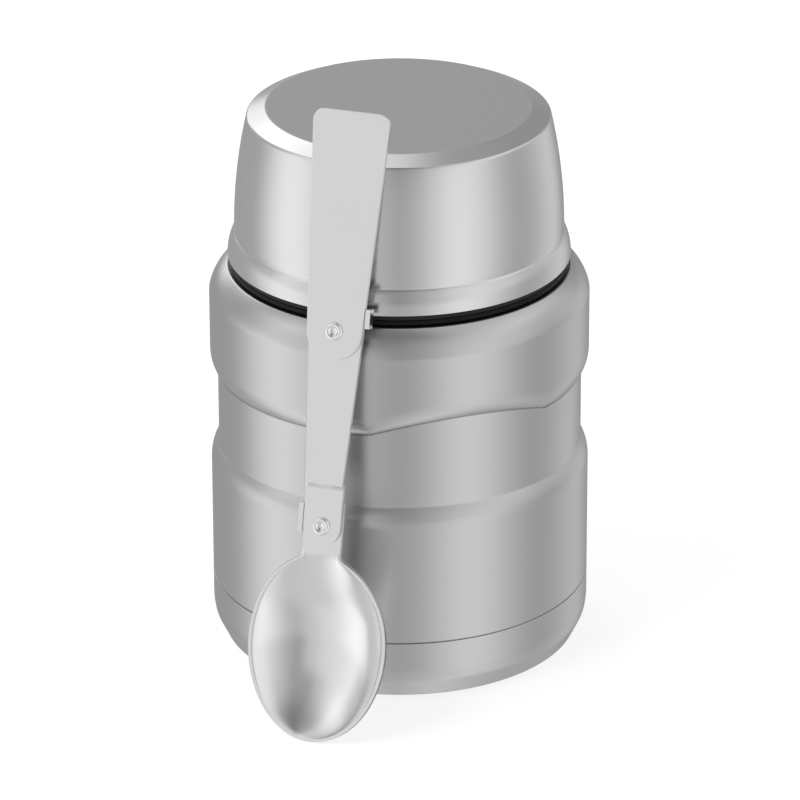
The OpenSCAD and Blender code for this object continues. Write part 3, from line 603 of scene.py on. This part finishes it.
RING_IN_R = 39.1
RING_HIGH_R = 40.35
ring_line = [(RING_IN_R, LID_LOW_Z, 0.3), (FLANGE_R, LID_LOW_Z, 0.3), (RING_HIGH_R, RING_TOP_Z, 0.2),
             (RING_IN_R, RING_TOP_Z, 0.4)]
ring = spun(ring_line)
add_threads(ring, RING_IN_R, (LID_LOW_Z + RING_TOP_Z) / 2, side=-1)
weigh_normals(keep(ring, "lid_ring_plastic", "lid", ["lid_ring"], black_finish))

# %% [markdown]
# The spoon leans at a slant, so it is drawn upright in its own axes first: X to the right, Y towards the jar
# and Z from the tip of the bowl to the end of the handle. The two rivets are joints of the CAD model, and
# they say where those axes lie: Z runs from one rivet to the other, and the turning axis points to the front.

# %% The spoon's own axes
LOWER_RIVET_S = 54.1
UPPER_RIVET_S = 102.3
SPOON_T = 1.2
PLATE_GAP = 0.05
LINK_Y = PLATE_GAP
LOBE_Y = LINK_Y + SPOON_T + PLATE_GAP
TANG_Y = LOBE_Y + SPOON_T + PLATE_GAP

lower_rivet_place = Vector(joints["link_fold"]["pos_m"])
upper_rivet_place = Vector(joints["handle_fold"]["pos_m"])
spoon_up = (upper_rivet_place - lower_rivet_place).normalized()
spoon_back = -Vector(joints["handle_fold"]["axis"]).normalized()
spoon_right = spoon_back.cross(spoon_up).normalized()
spoon_tip = lower_rivet_place - spoon_up * LOWER_RIVET_S * MM
spoon_axes = Matrix((spoon_right, spoon_back, spoon_up)).transposed().to_4x4()
spoon_place = Matrix.Translation(spoon_tip) @ spoon_axes @ Matrix.Scale(MM, 4)
print("Distance between the rivets in mm:", round((upper_rivet_place - lower_rivet_place).length / MM, 2))


def keep_on_spoon(bm, name, body, nodes, finish, thickness=None, edge=0.25, crease=40):
    """Places a bmesh drawn in the spoon's own axes, and gives a sheet its thickness and soft edges."""
    bmesh.ops.transform(bm, matrix=spoon_place, verts=bm.verts[:])
    piece = keep(bm, name, body, nodes, finish)
    if thickness:
        solid = piece.modifiers.new("sheet_thickness", "SOLIDIFY")
        solid.thickness = thickness * MM
        solid.offset = -1
        solid.use_even_offset = True
    if edge:
        soft = piece.modifiers.new("soft_edges", "BEVEL")
        soft.width = edge * MM
        soft.segments = 3
        soft.limit_method = "ANGLE"
        soft.angle_limit = math.radians(crease)
        weigh_normals(piece)
    return piece


# %% [markdown]
# The bowl of the spoon starts as a flat disc: a line of points, spun round its end. Each point is then moved
# to its place in the bowl. Inside radius 1 the disc becomes the hollow, and from 1 to 2 it becomes the flat
# land round it. The outline is half an ellipse below its widest place. Above it, the fourth power of the
# width follows an oval, which lets the sides run into the straight neck without a corner. The hollow is
# deepest in the middle, climbs steeply at the sides and runs out in an even slope towards the neck.

# %% Outline and depth of the bowl
BOWL_LEN = 48
BOWL_WIDE_S = 24
BOWL_W = 35.5
BOWL_DEPTH = 7.8
RIM_LAND = 0.8
TANG_W = 9.8
BOWL_SET_BACK = 2.25
NECK_DROP = 18
OVAL_END_S = 46.4
NECK_ANGLE = math.radians(75)
FULLNESS = 0.85
NECK_EVENNESS = 0.5
RINGS = (0, 0.1, 0.2, 0.3, 0.4, 0.5, 0.6, 0.69, 0.77, 0.84, 0.89, 0.93, 0.96, 0.98, 0.99, 0.996, 1, 2)


def half_width(s):
    share = min(1, max(0, (s - BOWL_WIDE_S) / (OVAL_END_S - BOWL_WIDE_S)))
    wide, narrow = (BOWL_W / 2) ** 4, (TANG_W / 2) ** 4
    return (narrow + (wide - narrow) * (1 - share ** 2) ** 2) ** 0.25


def outline_point(angle, land):
    """The outline in the direction of an angle from +X, taken in by the land."""
    if angle <= 0:
        return Vector(((BOWL_W / 2 - land) * math.cos(angle),
                       BOWL_WIDE_S + (BOWL_WIDE_S - land) * math.sin(angle)))
    end = BOWL_LEN - land
    side = 1 if angle < math.pi / 2 else -1
    lean = min(angle, math.pi - angle)
    if lean < NECK_ANGLE:
        s = BOWL_WIDE_S + (end - BOWL_WIDE_S) * math.sin(lean / NECK_ANGLE * math.pi / 2)
        return Vector((side * (half_width(s) - land), s))
    half = half_width(end) - land
    return Vector((side * half * (math.pi / 2 - lean) / (math.pi / 2 - NECK_ANGLE), end))


def bend(s):
    """0 at the plate above the neck, 1 where the bowl's edge is fully set back."""
    share = min(1, max(0, (BOWL_LEN - s) / NECK_DROP))
    return share * share * (3 - 2 * share)


def hollow_depth(x, s):
    if s < BOWL_WIDE_S:
        along = (s - BOWL_WIDE_S) / (BOWL_WIDE_S - RIM_LAND)
        across = math.hypot(along, x / (BOWL_W / 2 - RIM_LAND))
        return BOWL_DEPTH * max(0, 1 - across ** 2) ** FULLNESS
    along = min(1, (s - BOWL_WIDE_S) / (BOWL_LEN - RIM_LAND - BOWL_WIDE_S))
    across = x / (half_width(s) - RIM_LAND)
    run_out = (1 - along ** 2) / (1 + NECK_EVENNESS * along ** 2)
    return BOWL_DEPTH * max(0, 1 - across ** 2) ** FULLNESS * run_out


def bowl_place(flat):
    """Where a point of the flat disc goes in the bowl."""
    ring, angle = flat.length, math.atan2(flat.z, flat.x)
    middle = Vector((0, BOWL_WIDE_S))
    inner, outer = outline_point(angle, RIM_LAND), outline_point(angle, 0)
    place = middle + (inner - middle) * min(1, ring) + (outer - inner) * max(0, ring - 1)
    depth = hollow_depth(*place) if ring < 1 else 0
    return Vector((place.x, TANG_Y + BOWL_SET_BACK * bend(place.y) + depth, place.y))


# %% [markdown]
# Above the neck the bowl runs out into a flat plate, the tang, which the lower rivet goes through. It is
# extruded from the straight top edge of the bowl's outline. A small tab on its left is bent forwards beside
# the link, and stops the link when the spoon is straight. One Solidify gives the whole sheet its thickness.

# %% Spoon bowl
TANG_END_S = LOWER_RIVET_S + 6
LOWER_TAB_S = LOWER_RIVET_S - 1.9
LOWER_TAB_LEN = 7.1
LOWER_TAB_X = 4.84
LOWER_TAB_PAST = 0.3
NEARLY = 0.001

disc = bmesh.new()
line = [disc.verts.new((ring, 0, 0)) for ring in RINGS]
for pair in zip(line, line[1:]):
    disc.edges.new(pair)
bmesh.ops.spin(disc, geom=disc.verts[:] + disc.edges[:], cent=(0, 0, 0), axis=(0, -1, 0), dvec=(0, 0, 0),
               angle=2 * math.pi, steps=144, use_merge=True, use_duplicate=False)
bmesh.ops.remove_doubles(disc, verts=disc.verts[:], dist=0.0001)
for vert in disc.verts:
    vert.co = bowl_place(vert.co)


def extruded(bm, edges, shift):
    """Extrudes edges by a shift, and returns the new edges."""
    made = bmesh.ops.extrude_edge_only(bm, edges=edges)["geom"]
    bmesh.ops.translate(bm, verts=[v for v in made if isinstance(v, bmesh.types.BMVert)], vec=shift)
    return [e for e in made if isinstance(e, bmesh.types.BMEdge)
            and all(v in made for v in e.verts)]


top = [edge for edge in disc.edges
       if edge.is_boundary and all(abs(v.co.z - BOWL_LEN) < NEARLY for v in edge.verts)]
low = BOWL_LEN
for height in (LOWER_TAB_S, LOWER_TAB_S + LOWER_TAB_LEN, TANG_END_S):
    top = extruded(disc, top, (0, 0, height - low))
    low = height
tab = [edge for edge in disc.edges if edge.is_boundary
       and all(v.co.x < -TANG_W / 2 + NEARLY
               and LOWER_TAB_S - NEARLY < v.co.z < LOWER_TAB_S + LOWER_TAB_LEN + NEARLY for v in edge.verts)]
tab = extruded(disc, tab, (TANG_W / 2 - LOWER_TAB_X, 0, 0))
extruded(disc, tab, (0, LOBE_Y - LOWER_TAB_PAST - TANG_Y, 0))
bmesh.ops.recalc_face_normals(disc, faces=disc.faces[:])
if sum(face.normal.y for face in disc.faces) > 0:
    bmesh.ops.reverse_faces(disc, faces=disc.faces[:])
keep_on_spoon(disc, "spoon_bowl_steel", "spoon", ["spoon_bowl"], spoon_finish,
              thickness=SPOON_T, edge=0.38)

# %% [markdown]
# The link and the handle are flat plates. Each is an outline with a round hole, filled with faces that leave
# the hole open. Arcs of the outline come from one small helper. The link is cut across at its step, where
# its lower end is pressed back so that it lies behind the handle's plane.

# %% Plates with a hole
RIVET_HOLE_R = 1.55
HOLE_POINTS = 24


def arc(centre, radius, start, end, steps=12):
    """Points of an arc in the plate's plane, with angles in degrees from +X."""
    angles = [math.radians(start + (end - start) * i / steps) for i in range(steps + 1)]
    return [(centre[0] + radius * math.cos(a), centre[1] + radius * math.sin(a)) for a in angles]


def filled_plate(outline, holes, y):
    bm = bmesh.new()
    last_angle = 360 * (1 - 1 / HOLE_POINTS)
    for loop in [outline] + [arc(hole, RIVET_HOLE_R, 0, last_angle, HOLE_POINTS - 1) for hole in holes]:
        verts = [bm.verts.new((x, y, s)) for x, s in loop]
        for pair in zip(verts, verts[1:] + verts[:1]):
            bm.edges.new(pair)
    bmesh.ops.triangle_fill(bm, edges=bm.edges[:], use_beauty=True, use_dissolve=False, normal=(0, -1, 0))
    return bm


def join_flat_faces(bm):
    """Joins faces that lie in one plane, so that no line of the filling shows in the shading."""
    bmesh.ops.dissolve_limit(bm, angle_limit=math.radians(0.5), verts=bm.verts[:], edges=bm.edges[:])


# %% Spoon link
LINK_LOW_R = 4.8
LINK_HIGH_R = 6.95
LINK_STEP_S = 64
UPPER_TAB_S = UPPER_RIVET_S + 1.5
UPPER_TAB_LEN = 4.7
UPPER_TAB_GAP = 0.2
HANDLE_LOW_R = 7.1
HANDLE_HIGH_W = 19.7
HANDLE_CORNER_R = 2.75
HANDLE_END_S = 155.8
handle_corner_s = HANDLE_END_S - HANDLE_CORNER_R


def handle_half(s):
    share = (s - UPPER_RIVET_S) / (handle_corner_s - UPPER_RIVET_S)
    return HANDLE_LOW_R + (HANDLE_HIGH_W / 2 - HANDLE_LOW_R) * share


tab_x = handle_half(UPPER_TAB_S + UPPER_TAB_LEN) + UPPER_TAB_GAP
tab_low_angle = math.degrees(math.asin((UPPER_TAB_S - UPPER_RIVET_S) / LINK_HIGH_R))
tab_high_angle = math.degrees(math.asin((UPPER_TAB_S + UPPER_TAB_LEN - UPPER_RIVET_S) / LINK_HIGH_R))
link_outline = (
    arc((0, LOWER_RIVET_S), LINK_LOW_R, 180, 360, 20)
    + [(LINK_LOW_R, LINK_STEP_S)]
    + arc((0, UPPER_RIVET_S), LINK_HIGH_R, 0, tab_low_angle, 2)
    + [(tab_x, UPPER_TAB_S), (tab_x, UPPER_TAB_S + UPPER_TAB_LEN)]
    + arc((0, UPPER_RIVET_S), LINK_HIGH_R, tab_high_angle, 180, 16)
    + [(-LINK_LOW_R, LINK_STEP_S)]
)
link = filled_plate(link_outline, [(0, LOWER_RIVET_S), (0, UPPER_RIVET_S)], 0)
STEP_LEN = 1.2
for height in (LINK_STEP_S - STEP_LEN / 2, LINK_STEP_S + STEP_LEN / 2):
    bmesh.ops.bisect_plane(link, geom=link.verts[:] + link.edges[:] + link.faces[:], dist=0.0001,
                           plane_co=(0, 0, height), plane_no=(0, 0, 1))
for vert in link.verts:
    share = min(1, max(0, (LINK_STEP_S + STEP_LEN / 2 - vert.co.z) / STEP_LEN))
    vert.co.y = LINK_Y + (LOBE_Y - LINK_Y) * share
join_flat_faces(link)
flange = [edge for edge in link.edges
          if edge.is_boundary and all(abs(v.co.x - tab_x) < NEARLY for v in edge.verts)]
extruded(link, flange, (0, -SPOON_T - LINK_Y, 0))
bmesh.ops.recalc_face_normals(link, faces=link.faces[:])
if sum(face.normal.y * face.calc_area() for face in link.faces) > 0:
    bmesh.ops.reverse_faces(link, faces=link.faces[:])
keep_on_spoon(link, "spoon_link_steel", "spoon_link", ["spoon_link"], spoon_finish,
              thickness=SPOON_T, edge=0.15, crease=15)

# %% Spoon handle
corner_x = HANDLE_HIGH_W / 2 - HANDLE_CORNER_R
handle_outline = (
    arc((0, UPPER_RIVET_S), HANDLE_LOW_R, 180, 360, 28)
    + arc((corner_x, handle_corner_s), HANDLE_CORNER_R, 0, 90, 8)
    + arc((-corner_x, handle_corner_s), HANDLE_CORNER_R, 90, 180, 8)
)
handle = filled_plate(handle_outline, [(0, UPPER_RIVET_S)], -SPOON_T)
join_flat_faces(handle)
bmesh.ops.recalc_face_normals(handle, faces=handle.faces[:])
if sum(face.normal.y for face in handle.faces) > 0:
    bmesh.ops.reverse_faces(handle, faces=handle.faces[:])
keep_on_spoon(handle, "spoon_handle_steel", "spoon_handle", ["spoon_handle"], spoon_finish,
              thickness=SPOON_T)

# %% [markdown]
# Each rivet is hollow at its ends and rolled over, so that its head is a bright ring round a small dimple.
# It is a small spun piece like the jar, laid on its side so that its axis goes through the plates.

# %% Rivets
RIVET_R = 1.5
RIVET_HEAD_R = 2.25
RIVET_HEAD_H = 0.75
RIVET_RING_R = 1.62
RIVET_RING_POINTS = 8
RIVET_RING_STEP = math.radians(20)
RIVET_DIMPLE = [(0.7, 0.12), (0.35, 0.06), (0, 0.05)]
RIVET_TURNS = 64


def rolled_head(end, outwards):
    """Points from the edge of a rivet's head to its middle, on the side that outwards gives."""
    half = RIVET_HEAD_R - RIVET_RING_R
    turns = [RIVET_RING_STEP * i for i in range(RIVET_RING_POINTS)]
    ring = [(RIVET_RING_R + half * math.cos(turn), end + outwards * RIVET_HEAD_H * math.sin(turn), 0)
            for turn in turns]
    return ring + [(radius, end + outwards * height, 0) for radius, height in RIVET_DIMPLE]


def rivet(name, body, node, s, front, back):
    shank = [(RIVET_R, -back, 0), (RIVET_R, -front, 0)]
    heads = rolled_head(-back, -1)[::-1] + shank + rolled_head(-front, 1)
    bm = spun(heads, closed=False, turns=RIVET_TURNS)
    bmesh.ops.scale(bm, verts=bm.verts[:], vec=(1 / MM, 1 / MM, 1 / MM))
    bmesh.ops.rotate(bm, verts=bm.verts[:], cent=(0, 0, 0), matrix=Matrix.Rotation(math.pi / 2, 3, "X"))
    bmesh.ops.translate(bm, verts=bm.verts[:], vec=(0, 0, s))
    return keep_on_spoon(bm, name, body, [node], rivet_finish, edge=None)


rivet("lower_rivet_heads", "spoon", "lower_rivet", LOWER_RIVET_S, LOBE_Y, TANG_Y + SPOON_T)
rivet("upper_rivet_heads", "spoon_link", "upper_rivet", UPPER_RIVET_S, -SPOON_T, LINK_Y + SPOON_T)

# %% [markdown]
# Some CAD pieces lie sealed between the walls and keep their CAD shape: the reflecting foil, the getter with
# its clip, the bead that closes the vacuum and the foam in the stopper. They only get their finishes.

# %% Finishes for the hidden CAD pieces
hidden_finishes = {
    "vacuum_seal": glaze_finish,
    "reflecting_foil": foil_finish,
    "getter_clip": inner_finish,
    "getter_pill": glaze_finish,
    "stopper_foam": foam_finish,
}
for node, finish in hidden_finishes.items():
    frame["nodes"][node].data.materials.clear()
    frame["nodes"][node].data.materials.append(finish)
    print(node, "gets", finish.name)

# %% [markdown]
# The floor and the backdrop are white. The floor adds a little light of its own for the camera alone, so
# that it reads as white without any extra light on the object, and it still darkens softly where the object
# keeps the light away. It is left out of the reflections, because satin steel seen from above would
# otherwise mirror nothing but floor, where the photographed studio gives it soft bands of light.

# %% Floor
FLOOR_HALF = 3.0
FLOOR_GREY = 0.45
FLOOR_GLOW = 0.71
floor_mesh = bmesh.new()
bmesh.ops.create_grid(floor_mesh, x_segments=1, y_segments=1, size=FLOOR_HALF)
floor_data = bpy.data.meshes.new("studio_floor")
floor_mesh.to_mesh(floor_data)
floor_mesh.free()
floor = bpy.data.objects.new("studio_floor", floor_data)
bpy.context.scene.collection.objects.link(floor)
floor.visible_glossy = False

floor_finish = bpy.data.materials.new("white_floor")
floor_finish.use_nodes = True
floor_tree = floor_finish.node_tree
floor_tree.nodes.clear()
path = add(floor_tree, "ShaderNodeLightPath")
paint = add(floor_tree, "ShaderNodeBsdfDiffuse", {"Color": (FLOOR_GREY, FLOOR_GREY, FLOOR_GREY, 1)})
own_light = maths(floor_tree, "MULTIPLY", path.outputs["Is Camera Ray"], FLOOR_GLOW)
glow = add(floor_tree, "ShaderNodeEmission", {"Color": (1, 1, 1, 1), "Strength": own_light})
both = add(floor_tree, "ShaderNodeAddShader", {0: paint.outputs["BSDF"], 1: glow.outputs["Emission"]})
add(floor_tree, "ShaderNodeOutputMaterial", {"Surface": both.outputs["Shader"]})
floor_data.materials.append(floor_finish)
print("Floor side in m:", 2 * FLOOR_HALF)

# %% [markdown]
# Satin steel has hardly any look of its own: it shows the room, blurred. In a plain white room it would look
# flat, so the photographed studio must have had pale and grey cards round the jar. The world stands for them
# with five rings of cards. The table's ring shows in the neck of the spoon's bowl, the low one in the upright
# walls, the middle one in the shoulder and the spoon's plates, the high one in the lower part of the spoon's
# bowl and the sides of the lid's bevel, and the top one in the front of that bevel. Directions are angles
# round the object, measured from the camera to the right, and each brightness was judged from the metal in
# the photograph. The camera itself sees plain white.

# %% World
LOW_CARDS = {
    -180: 0.45, -165: 0.42, -125: 0.5, -82: 1.2, -40: 0.82, -20: 0.68, 0: 0.53, 42: 1.07, 93: 0.52, 134: 0.77,
    165: 0.36, 180: 0.45,
}
MIDDLE_CARDS = {
    -180: 0.45, -172: 0.47, -162: 1.25, -153: 1.4, -138: 0.6, -115: 0.5, -98: 0.66, -84: 1.03, -62: 0.88,
    -40: 0.8, -20: 0.66, 0: 0.37, 12: 0.5, 25: 0.71, 40: 0.94, 55: 0.98, 73: 0.84, 98: 0.65, 125: 0.74,
    147: 0.46, 160: 0.37, 172: 0.42, 180: 0.45,
}
HIGH_CARDS = {
    -180: 0.45, -155: 1.7, -118: 0.55, -98: 0.95, -80: 1.15, -60: 0.85, -40: 0.6, -20: 0.38, 0: 0.38,
    20: 0.58, 45: 0.9, 90: 1.0, 125: 0.85, 150: 0.38, 165: 0.38, 180: 0.45,
}
TOP_CARDS = {
    -180: 0.9, -150: 1.2, -115: 0.55, -88: 0.75, -50: 0.38, 0: 0.2, 25: 0.3, 55: 0.7, 90: 0.8, 125: 0.6,
    150: 0.42, 180: 0.9,
}
TABLE_CARDS = {
    -180: 0.5, -125: 0.6, -98: 1.1, -76: 1.2, -62: 0.9, -48: 0.7, 0: 0.65, 30: 0.85, 50: 1.05, 80: 0.8,
    110: 0.6, 180: 0.5,
}
world = bpy.data.worlds.new("studio_cards")
bpy.context.scene.world = world
world.use_nodes = True
sky = world.node_tree
sky.nodes.clear()
direction = add(sky, "ShaderNodeTexCoord").outputs["Generated"]
sides = add(sky, "ShaderNodeSeparateXYZ", {0: direction})
front_side = maths(sky, "MULTIPLY", sides.outputs["Y"], -1.0)
angle = maths(sky, "ARCTAN2", sides.outputs["X"], front_side)
around = add(sky, "ShaderNodeMapRange", {"Value": angle, "From Min": -math.pi, "From Max": math.pi})


def ring_of_cards(cards):
    ramp = add(sky, "ShaderNodeValToRGB", {"Fac": around.outputs["Result"]})
    ramp.color_ramp.interpolation = "EASE"
    stops = ramp.color_ramp.elements
    stops[0].color = (*[cards[-180]] * 3, 1)
    stops[1].color = (*[cards[180]] * 3, 1)
    for card_angle in sorted(cards)[1:-1]:
        stop = stops.new(card_angle / 360 + 0.5)
        stop.color = (*[cards[card_angle]] * 3, 1)
    return ramp.outputs["Color"]


def higher_up(start, end, below, above):
    """Goes over from one brightness to another between two heights in the sky, 0 level and 1 overhead."""
    share = add(sky, "ShaderNodeMapRange", {"Value": sides.outputs["Z"], "From Min": start, "From Max": end},
                interpolation_type="SMOOTHSTEP")
    mix = add(sky, "ShaderNodeMixRGB", {"Fac": share.outputs["Result"], "Color1": below, "Color2": above})
    return mix.outputs["Color"]


walls = higher_up(-0.75, -0.5, ring_of_cards(TABLE_CARDS), ring_of_cards(LOW_CARDS))
shoulders = higher_up(-0.04, 0.14, walls, ring_of_cards(MIDDLE_CARDS))
bowls = higher_up(0.38, 0.58, shoulders, ring_of_cards(HIGH_CARDS))
whole = higher_up(0.62, 0.92, bowls, ring_of_cards(TOP_CARDS))
sky_path = add(sky, "ShaderNodeLightPath")
lit = add(sky, "ShaderNodeBackground", {"Color": whole, "Strength": 1.0})
seen = add(sky, "ShaderNodeBackground", {"Color": (1, 1, 1, 1), "Strength": 1.0})
chosen = add(sky, "ShaderNodeMixShader", {0: sky_path.outputs["Is Camera Ray"], 1: lit.outputs["Background"],
                                          2: seen.outputs["Background"]})
add(sky, "ShaderNodeOutputWorld", {"Surface": chosen.outputs["Shader"]})
rings = (TABLE_CARDS, LOW_CARDS, MIDDLE_CARDS, HIGH_CARDS, TOP_CARDS)
print("Cards round the object:", [len(cards) - 1 for cards in rings])

# %% [markdown]
# One large soft lamp from the upper left gives the plastics their light and the floor its soft shadow. It is
# left out of the mirror images, because the cards already stand for everything that the metal shows. Its
# light is plain, at a level where colours render about as they are written.

# %% Key light
key_data = bpy.data.lights.new("key_softbox", "AREA")
key_data.shape = "SQUARE"
key_data.size = 0.9
key_data.energy = 9
key = bpy.data.objects.new("key_softbox", key_data)
key.location = (-1.1, -0.7, 1.3)
key.rotation_euler = (Vector((0, 0, 0.07)) - key.location).to_track_quat("-Z", "Y").to_euler()
key.visible_glossy = False
bpy.context.scene.collection.objects.link(key)
bpy.context.scene.view_settings.view_transform = "Standard"
print("Key light in W:", key_data.energy)
